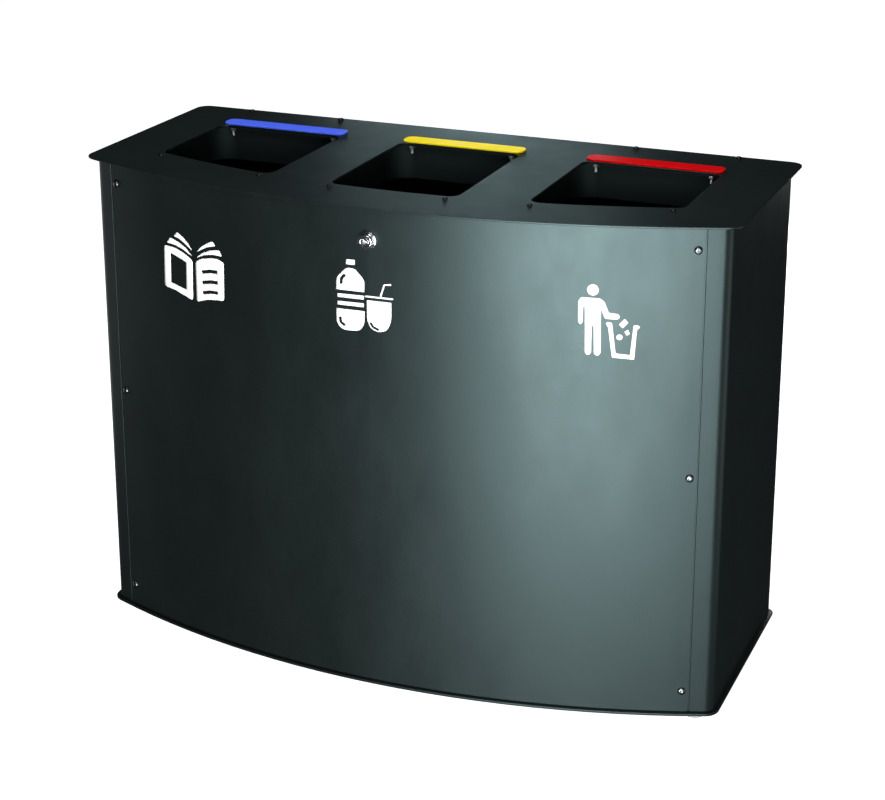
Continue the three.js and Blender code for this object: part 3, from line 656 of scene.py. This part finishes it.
def area_light(name, azimuth, elevation, size, power, distance=LIGHT_DISTANCE, colour=WHITE):
    data = bpy.data.lights.new(name, "AREA")
    data.shape = "RECTANGLE"
    data.size, data.size_y = size
    data.energy = power
    data.color = colour
    obj = bpy.data.objects.new(name, data)
    bpy.context.scene.collection.objects.link(obj)
    away = direction(azimuth, elevation)
    obj.location = LIGHT_TARGET + away * distance
    obj.rotation_euler = away.to_track_quat("Z", "Y").to_euler()
    obj.visible_camera = False


def low_softboxes():
    """Two rows of small softboxes, low in front: they put the broad sheen on the bowed panel."""
    upper, lower, lower_share = -5, -19, 0.5
    size = (0.35, 0.4)
    for number, (azimuth, power) in enumerate(((3, 23), (12, 47), (25, 42), (42, 13))):
        area_light(f"low_softbox_{number}", azimuth, upper, size, power)
        area_light(f"under_softbox_{number}", azimuth, lower, size, power * lower_share)


def lid_lights():
    """Soft light on the lid, and small rear lights whose glance gives its middle a sheen."""
    area_light("overhead", 0, 88, (1.6, 1.0), 44, distance=2.6)
    area_light("front_high", 10, 42, (1.0, 0.6), 22)
    area_light("front_level", 26, 14, (1.4, 0.5), 38)
    area_light("rear_high", 196, 15, (0.45, 0.3), 1.0, distance=2.2, colour=COOL)
    area_light("rear_low", 203, 10, (0.45, 0.3), 2.1, distance=2.2, colour=COOL)


def fills():
    """Weak light for the sides and back."""
    area_light("back_fill", 176, -3, (0.9, 0.4), 16, distance=2.6)
    area_light("left_fill", -96, -10, (1.6, 1.2), 5, distance=2.6)
    area_light("right_fill", 96, -10, (1.6, 1.2), 8, distance=2.6)


def world():
    made = bpy.data.worlds.new("studio")
    bpy.context.scene.world = made
    made.use_nodes = True
    background = made.node_tree.nodes["Background"]
    background.inputs["Color"].default_value = (0.8, 1.0, 1.03, 1)
    background.inputs["Strength"].default_value = 0.029


def camera():
    data = bpy.data.cameras.new("camera")
    data.lens = 83.3
    data.sensor_width = 36
    data.shift_y = -0.156
    data.clip_end = 50
    obj = bpy.data.objects.new("camera", data)
    bpy.context.scene.collection.objects.link(obj)
    azimuth, elevation, distance = 22.73, 21.31, 3.2066
    yaw, pitch = math.radians(22.34), math.radians(-17.33)
    obj.location = Vector((0, 0, lid_top / 2)) + direction(azimuth, elevation) * distance
    obj.rotation_euler = (math.radians(90) + pitch, 0, yaw)
    bpy.context.scene.camera = obj


# ---- build ----
for node in ("side_panel_left", "side_panel_right", "back_panel"):
    dress(node, GRAPHITE, SHEET_EDGE)
dress("front_panel", GRAPHITE, FRONT_EDGE)
dress("base_plate", GRAPHITE, BASE_EDGE, segments=3)
dress("lid_plate", GRAPHITE, LID_EDGE, segments=3)
for side, material in zip(SIDES, (BLUE, YELLOW, RED)):
    dress("colour_strip_" + side, material, LID_EDGE, segments=3)
    dress("chute_" + side, CHUTE_PAINT, THIN_EDGE)
    dress("liner_" + side, GALVANISED, THIN_EDGE)
    for end in ("left", "right"):
        lid_screw(f"chute_screw_{side}_{end}", CHUTE_SCREW)
        stud(f"strip_stud_{side}_{end}")
for side in ("left", "right"):
    dress("liner_guide_" + side, GALVANISED, THIN_EDGE)
    dress("lid_buffer_" + side, RUBBER, SMALL_EDGE)
    dress("hinge_leaf_cabinet_" + side, HINGE_PAINT, SMALL_EDGE)
    dress("hinge_leaf_lid_" + side, HINGE_PAINT, SMALL_EDGE)
    dress("hinge_pin_" + side, ZINC, SHEET_EDGE)
    for end in ("inner", "outer"):
        lid_screw(f"hinge_screw_{side}_{end}", HINGE_SCREW)
    for level in ("bottom", "middle", "top"):
        panel_screw(f"panel_screw_{side}_{level}")
    for end in ("front", "back"):
        foot(f"foot_{end}_{side}")
for node in ("lock_cam", "lock_cam_screw", "lock_catch"):
    dress(node, ZINC, SMALL_EDGE)
dress("lock_nut", NICKEL, THIN_EDGE)
lock_barrel()
lock_plug()
book()
bottle_and_cup()
person_and_bin()

floor()
world()
low_softboxes()
lid_lights()
fills()
camera()
bpy.context.scene.view_settings.view_transform = "Standard"
